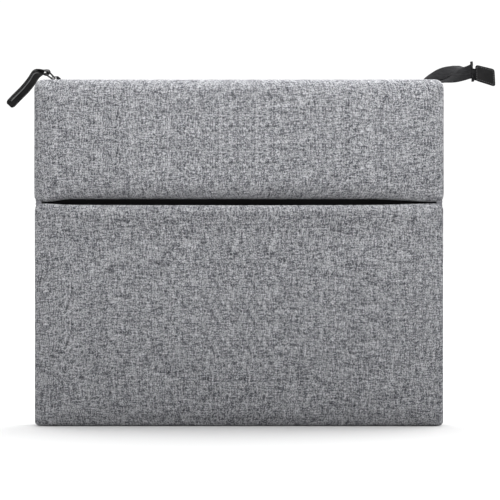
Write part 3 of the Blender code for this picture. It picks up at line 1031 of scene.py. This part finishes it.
def add_coil(side, x, height):
    """One side of the coil: interlocking teeth over a core cord."""
    tooth = add_pellet(TOOTH_SIZE)
    middle_y = ZIP_Y + side * (TOOTH_SIZE.y / 2 - TOOTH_REACH)
    shift = 0.0 if side < 0 else TOOTH_PITCH / 2
    first = math.ceil((x[0] + TOOTH_SIZE.x / 2 - shift) / TOOTH_PITCH)
    last = math.floor((x[1] - TOOTH_SIZE.x / 2 - shift) / TOOTH_PITCH)
    turn = Matrix.Rotation(TOOTH_TURN * side, 4, "Z")
    places = []
    for number in range(first, last + 1):
        place = Vector((number * TOOTH_PITCH + shift, middle_y, height))
        places.append(Matrix.Translation(place) @ turn)
    teeth = copy_to(tooth, places)
    near = ZIP_Y + side * 0.9 * MM
    far = ZIP_Y + side * 2.3 * MM
    low = Vector((x[0], min(near, far), height - 1.1 * MM))
    high = Vector((x[1], max(near, far), height - 0.1 * MM))
    return join_pieces([teeth, add_block(low, high, 0.3 * MM)])


def add_zip_part(name, side, nodes, body, tape_finish, coil_finish, thread):
    """Tape, coil and sewing of one stretch of one side of the zip."""
    tape_low, tape_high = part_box(nodes[0])
    coil_low, coil_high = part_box(nodes[1])
    inner = ZIP_Y + side * 0.7 * MM
    outer = tape_low.y if side < 0 else tape_high.y
    length = tape_high.x - tape_low.x

    def shape(u, v):
        x = tape_low.x + length * v
        bead = 0.18 * MM * math.exp(-(((u - 0.42) / 0.07) ** 2))
        return Vector((x, inner + (outer - inner) * u, (tape_low.z + tape_high.z) / 2 + bead))

    tape = add_sheet(14, max(3, round(length / (6 * MM))), shape, TAPE_THICKNESS)
    dress(tape, name + "_tape", tape_finish, body, (nodes[0],))
    middle = (coil_low.z + coil_high.z) / 2
    coil = add_coil(side, (coil_low.x, coil_high.x), middle)
    dress(coil, name + "_coil", coil_finish, body, (nodes[1],))
    y = ZIP_Y + side * 3.05 * MM
    ends = (coil_low.x + 0.5 * MM, coil_high.x - 0.5 * MM)
    route = [Vector((end, y, tape_high.z + 0.05 * MM)) for end in ends]
    row = stitch_row([route], lambda point: UPWARDS, 2.2 * MM, 0.4 * MM)
    dress(row, name + "_sewing", thread, body)


def make_zip(tape, coil, thread):
    """Both sides of the zip, each with its folding stretch and its two sewn ends."""
    for side, word in ((-1, "front"), (1, "rear")):
        nodes = (word + "_zip_tape", word + "_zip_coil")
        add_zip_part(word, side, nodes, word + "_zip_side", tape, coil, thread)
        for end in ("left", "right"):
            nodes = tuple("%s_%s_end_%s" % (end, word, part) for part in ("tape", "coil"))
            name = "%s_sewn_%s" % (end, word)
            add_zip_part(name, side, nodes, "case", tape, coil, thread)


def make_end_staple(metal):
    """A bent staple across the coil beside the parked slider."""
    low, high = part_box("zip_end_stop")
    half = (high.y - low.y) / 2
    tall = high.z - low.z
    leg = 1.0 * MM
    arch = [(-half, 0), (-half, tall), (half, tall), (half, 0),
            (half - leg, 0), (half - leg, tall - leg), (leg - half, tall - leg), (leg - half, 0)]
    middle = Vector(((low.x + high.x) / 2, ZIP_Y, low.z))
    across = Matrix(((0, 0, 1), (1, 0, 0), (0, 1, 0))).to_4x4()
    staple = add_plate([arch], high.x - low.x, 0.3 * MM, Matrix.Translation(middle) @ across)
    dress(staple, "end_staple", metal, "case", ("zip_end_stop",))


def make_slider(metal):
    """Two shields with side flanges, the post between them and the crown on top."""
    low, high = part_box("slider_body")
    middle = Vector(((low.x + high.x) / 2, ZIP_Y, 0))
    shield = in_mm(mirrored([(-5.2, 3.0), (-3.8, 4.2), (0.8, 4.2), (5.2, 3.4)]))
    shield = rounded_corners(shield, 0.7 * MM)
    pieces = []
    for level in (low.z + SHIELD_THICKNESS / 2, high.z - SHIELD_THICKNESS / 2):
        place = Matrix.Translation(middle + Vector((0, 0, level)))
        pieces.append(add_plate([shield], SHIELD_THICKNESS, 0.4 * MM, place))
    for side in (-1, 1):
        flange = [(-3.7, 4.1), (0.8, 4.1), (5.0, 3.35), (5.0, 2.85), (0.6, 3.3), (-3.7, 3.3)]
        outline = [(x * MM, side * y * MM) for x, y in flange]
        level = high.z - 0.6 * MM - FLANGE_DEPTH / 2
        place = Matrix.Translation(middle + Vector((0, 0, level)))
        pieces.append(add_plate([outline], FLANGE_DEPTH, 0.25 * MM, place))
    post = Vector((-5.0, -0.3, 0)) * MM + middle
    post_end = Vector((-3.4, 0.3, 0)) * MM + middle
    post.z = low.z + 0.5 * MM
    post_end.z = high.z - 0.5 * MM
    pieces.append(add_block(post, post_end, 0.1 * MM))
    crown = in_mm([
        (-4.4, -0.2), (-4.1, 3.3), (-3.3, 4.2), (1.8, 4.5), (4.2, 2.6), (4.8, -0.2),
        (0.2, -0.2), (0.2, 3.5), (-3.4, 3.5), (-3.4, -0.2),
    ])
    place = Matrix.Translation(middle + Vector((0, 0, high.z))) @ UPRIGHT
    crown = rounded_corners(crown, 0.3 * MM)
    pieces.append(add_plate([crown], CROWN_WIDTH, 0.3 * MM, place))
    slider = join_pieces(pieces)
    dress(slider, "zip_slider", metal, "slider", ("slider_body", "slider_crown"))


def ring_axes():
    """The ring's outward direction and the direction of its bars."""
    outward = Vector((-math.cos(RING_SLOPE), 0, math.sin(RING_SLOPE)))
    bar = Quaternion(outward, -RING_TILT) @ Vector((0, 1, 0))
    return outward, bar


def make_ring(metal):
    """A flat ring that widens from the bar in the crown to the bar in the pull."""
    outward, bar = ring_axes()
    outer = mirrored([(-0.65, 3.0), (8.6, 5.0), (9.4, 4.4)])
    hole = mirrored([(0.65, 1.7), (8.0, 3.6)])
    outlines = [rounded_corners(in_mm(outer), 0.35 * MM), rounded_corners(in_mm(hole), 0.5 * MM)]
    turn = Matrix((outward, bar, outward.cross(bar))).transposed().to_4x4()
    place = Matrix.Translation(RING_PIVOT) @ turn
    ring = add_plate(outlines, RING_THICKNESS, 0.28 * MM, place)
    dress(ring, "slider_ring", metal, "ring", ("pull_ring",))


def pull_layers():
    """Stations along the pull's spine, from the ring's bar to its round end.

    Each one is (middle, across, half width, normal, distance of each layer's middle).
    """
    outward, bar = ring_axes()
    corners = [
        (-180.3, 5.2, 322.0), (-185.9, 11.5, 320.3), (-190.8, 17.2, 314.2),
        (-197.2, 19.7, 306.8), (-204.7, 19.9, 299.3), (-211.6, 19.7, 292.0),
    ]
    start = RING_PIVOT + outward * RING_REACH
    spine = smooth_route([start] + [Vector(point) * MM for point in corners], 6)
    last = len(spine) - 1
    layers = []
    for index, point in enumerate(spine):
        share = index / last
        along = (spine[min(index + 1, last)] - spine[max(index - 1, 0)]).normalized()
        turn = float(smoothstep(0.0, 0.35, share))
        across = (-bar).lerp(PULL_END_BAR, turn)
        across = (across - along * across.dot(along)).normalized()
        width = PULL_NECK + (PULL_END - PULL_NECK) * min(1.0, share * 3)
        round_end = max(0.0, (share - 0.93) / 0.07)
        width *= 1.0 - 0.42 * round_end**2
        loop = PULL_LOOP * max(0.0, 1 - share * 5) ** 0.5
        apart = PULL_THICKNESS / 2 + PULL_LAYER_GAP + loop
        layers.append((point, across, width, along.cross(across), apart))
    return layers


def make_pull(leather):
    """A leather strip that goes round the ring's outer bar and back."""
    layers = pull_layers()
    strip = [(p + n * a, across, w) for p, across, w, n, a in reversed(layers)]
    point, across, width, normal, apart = layers[0]
    along = (layers[1][0] - point).normalized()
    for step in range(1, 10):
        angle = math.pi * step / 10
        middle = point + (normal * math.cos(angle) - along * math.sin(angle)) * apart
        strip.append((middle, across, width))
    strip += [(p - n * a, across, w) for p, across, w, n, a in layers]
    last = len(strip) - 1

    def shape(u, v):
        middle, across, width = strip[min(round(v * last), last)]
        return middle + across * width * (2 * u - 1)

    strap = add_sheet(6, last, shape, PULL_THICKNESS)
    apply_modifier(strap, "BEVEL", width=0.3 * MM, segments=2, angle_limit=math.radians(50))
    dress(strap, "leather_pull", leather, "pull", ("pull_strap",))


def make_pull_fold(highlight_finish):
    """The raised ridge along the front layer's folded edge, coloured as a painted highlight."""
    ridge = []
    for point, across, width, normal, apart in pull_layers()[7:-3]:
        facing = normal if normal.y < 0 else -normal
        spot = point + facing * (apart + PULL_THICKNESS / 2) + across * width * 0.42
        ridge.append((spot, across, facing))
    last = len(ridge) - 1

    def shape(u, v):
        middle, across, facing = ridge[min(round(v * last), last)]
        bulge = facing * 0.3 * MM * math.sin(math.pi * u)
        return middle + across * (u - 0.5) * 0.9 * MM + bulge

    fold = add_sheet(4, last, shape, 0.3 * MM)
    # the ridge is given the painted-highlight leather, which paints the fold's shine into its colour
    dress(fold, "pull_folded_edge", highlight_finish, "pull")


def make_pull_sewing(thread):
    """A row of stitches along both rims of both layers."""
    rows = []
    facings = []
    for face in (-1, 1):
        for rim in (-1, 1):
            row = []
            for point, across, width, normal, apart in pull_layers()[6:-2]:
                lift = apart + PULL_THICKNESS / 2 + 0.02 * MM
                spot = point + normal * face * lift + across * rim * (width - PULL_SEAM_INSET)
                row.append(spot)
                facings.append((spot, normal * face))
            rows.append(row)

    def outward(point):
        return min(facings, key=lambda pair: (pair[0] - point).length)[1]

    sewing = stitch_row(rows, outward, 2.0 * MM, 0.42 * MM)
    dress(sewing, "pull_stitches", thread, "pull")


def tail_lines():
    """Smooth lines of the tail's coil, rear edge and front edge."""
    stations = [
        # x, then y and z of the coil, the rear edge and the front edge
        (164.4, 3.5, 310.6, 9.9, 309.5, -2.9, 309.4),
        (167.2, 3.5, 310.9, 9.5, 313.6, -2.8, 309.5),
        (170.4, 3.5, 311.4, 9.4, 317.0, -2.6, 309.8),
        (176.0, 3.5, 312.4, 9.8, 321.3, -2.4, 310.3),
        (182.0, 3.4, 313.4, 9.8, 324.8, -2.4, 311.0),
        (187.3, 3.2, 314.6, 9.2, 326.6, -2.8, 311.5),
        (193.0, 2.8, 318.0, 9.8, 327.6, -2.5, 311.4),
        (198.5, 2.6, 321.8, 11.8, 328.0, -1.0, 312.0),
        (204.5, 2.5, 325.6, 12.6, 326.8, 0.6, 313.4),
        (211.0, 2.6, 328.2, 6.6, 317.4, 1.6, 315.3),
        (212.6, 2.9, 328.4, 5.4, 316.0, 2.6, 315.0),
    ]
    lines = []
    for column in (1, 3, 5):
        points = [Vector((s[0], s[column], s[column + 1])) * MM for s in stations]
        lines.append(smooth_route(points, 6))
    return lines


def make_tail_tape(tape):
    """One folded tape that leaves the mouth and bends at the case's corner."""
    ridge, rear, front = tail_lines()
    last = len(ridge) - 1

    def shape(u, v):
        index = min(round(v * last), last)
        if u < 0.5:
            share = u * 2
            point = rear[index].lerp(ridge[index], share)
        else:
            share = 2 - u * 2
            point = front[index].lerp(ridge[index], share)
        bow = 0.5 * MM * math.sin(math.pi * share)
        return point + Vector((0, -bow, bow * 0.4))

    folded = add_sheet(16, last, shape, TAIL_THICKNESS)
    smooth_once(folded)
    dress(folded, "tail_tape", tape, None)
    leaves = ("tail_root_rear_leaf", "tail_root_front_leaf", "tail_rear_leaf", "tail_front_leaf")
    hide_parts(*leaves)
    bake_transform(folded)


def make_tail_teeth(coil):
    """The closed coil inside the fold, along its ridge."""
    ridge, rear, front = tail_lines()
    last = len(ridge) - 1
    tooth = add_pellet(TAIL_TOOTH_SIZE)
    places = []
    for point, along in spaced(ridge, TOOTH_PITCH * 0.75):
        index = min(range(last + 1), key=lambda i: (ridge[i] - point).length)
        inside = ((rear[index] + front[index]) / 2 - ridge[index]).normalized()
        side = along.cross(inside).normalized()
        turn = Matrix((along, side, along.cross(side))).transposed().to_4x4()
        places.append(Matrix.Translation(point + inside * 1.0 * MM) @ turn)
    teeth = copy_to(tooth, places)
    dress(teeth, "tail_teeth", coil, None)
    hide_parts("tail_root_coil", "tail_coil")
    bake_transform(teeth)


def make_clamp(metal):
    """The bar that grips the end of the folded tape, wider at both ends."""
    low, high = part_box("tail_clamp")
    half = (high.x - low.x) / 2
    tall = (high.z - low.z) / 2
    neck = half * 0.72
    outline = [
        (-half, -tall), (half, -tall), (half, -tall + 2 * MM), (neck, -tall + 2.8 * MM),
        (neck, tall - 4.6 * MM), (half, tall - 3.8 * MM), (half, tall), (-half, tall),
        (-half, tall - 3.8 * MM), (-neck, tall - 4.6 * MM), (-neck, -tall + 2.8 * MM),
        (-half, -tall + 2 * MM),
    ]
    lean = Matrix.Rotation(CLAMP_TILT, 4, "Y")
    place = Matrix.Translation((low + high) / 2) @ lean @ UPRIGHT
    clamp = add_plate([rounded_corners(outline, 0.25 * MM)], high.y - low.y, 0.5 * MM, place)
    dress(clamp, "tail_clamp_bar", metal, "tail", ("tail_clamp",))


def make_tab(leather, thread):
    """Two leather faces, each with a row of stitches along its edge."""
    corners = in_mm([(-8.5, 9.1), (8.8, 4.9), (9.6, -11.0), (-8.7, -5.2)])
    outline = rounded_corners(corners, 2.6 * MM)
    inset = in_mm([(-7.2, 7.3), (7.5, 3.7), (8.2, -9.2), (-7.4, -4.1)])
    seam = rounded_corners(inset, 1.4 * MM)
    seam.append(seam[0])
    faces = ((-1, "tab_front_leather", "front_tab_face"), (1, "tab_back_leather", "back_tab_face"))
    for side, node, name in faces:
        low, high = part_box(node)
        offset = Vector((0, (low.y + high.y) / 2 - TAB_MIDDLE.y, 0))
        place = Matrix.Translation(TAB_MIDDLE + offset) @ UPRIGHT
        face = add_plate([outline], high.y - low.y, 0.4 * MM, place)
        dress(face, name, leather, "tab", (node,))
        surface = high.y if side > 0 else low.y
        route = [Vector((TAB_MIDDLE.x + x, surface, TAB_MIDDLE.z + z)) for x, z in seam]
        facing = Vector((0, side, 0))
        row = stitch_row([route], lambda point: facing, 2.0 * MM, 0.45 * MM)
        dress(row, name + "_stitches", thread, "tab")


def make_tab_tape(tape):
    """The tape's end, from the clamp to its place between the tab's faces."""
    low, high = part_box("tab_core")
    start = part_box("tail_clamp")[1].x - 1.2 * MM
    length = high.x - start

    def shape(u, v):
        top = TAB_TAPE_TOP - 3.6 * MM * v
        bottom = TAB_TAPE_BOTTOM - 2.0 * MM * v
        fold = 0.5 * MM * math.sin(u * 2.5 * math.pi + 0.6) * max(0.0, 1 - v * 2.4)
        return Vector((start + length * v, TAB_MIDDLE.y + fold, bottom + (top - bottom) * u))

    inner = add_sheet(10, 24, shape, high.y - low.y)
    dress(inner, "tab_tape", tape, None)
    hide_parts("tab_core")
    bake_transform(inner)


def make_tacks(thread):
    """Bar tacks of close stitches that hold the slit's ends."""
    for word in ("left", "right"):
        low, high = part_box(word + "_slit_tack")
        middle = (low + high) / 2
        routes = []
        for x in np.linspace(low.x + 0.5 * MM, high.x - 0.5 * MM, 7):
            ends = (low.z + 0.2 * MM, high.z - 0.2 * MM)
            routes.append([Vector((x, low.y + 0.5 * MM, z)) for z in ends])
        rows = stitch_row(routes, lambda point: Vector((0, -1, 0)), 2.4 * MM, 0.8 * MM)
        size = Vector((high.x - low.x - 0.6 * MM, high.y - low.y - 0.8 * MM, high.z - low.z - 0.8 * MM))
        core = add_block(middle - size / 2, middle + size / 2, 0.4 * MM)
        tack = join_pieces([rows, core])
        dress(tack, word + "_bar_tack", thread, "case", (word + "_slit_tack",))


set_camera()
set_surroundings()
set_floor(set_lamps())
lining = lining_cloth()
grey_thread = sewing_thread()
dark_thread = black_thread()
tape = zip_tape_cloth()
coil = coil_nylon()
metal = lacquered_metal()
leather = grained_leather()

make_upper_panel()
make_lower_panel()
make_rear_panel()
make_gussets(grey_thread)
make_main_lining(lining)
make_divider(lining)
make_pocket_lining(lining)
make_mouth_facing(grey_thread)
make_tacks(grey_thread)
make_zip(tape, coil, dark_thread)
make_end_staple(metal)
make_slider(metal)
make_ring(metal)
make_pull(leather)
make_pull_fold(painted_highlight_leather())
make_pull_sewing(dark_thread)
make_tail_tape(tape)
make_tail_teeth(coil)
make_clamp(metal)
make_tab(leather, dark_thread)
make_tab_tape(tape)
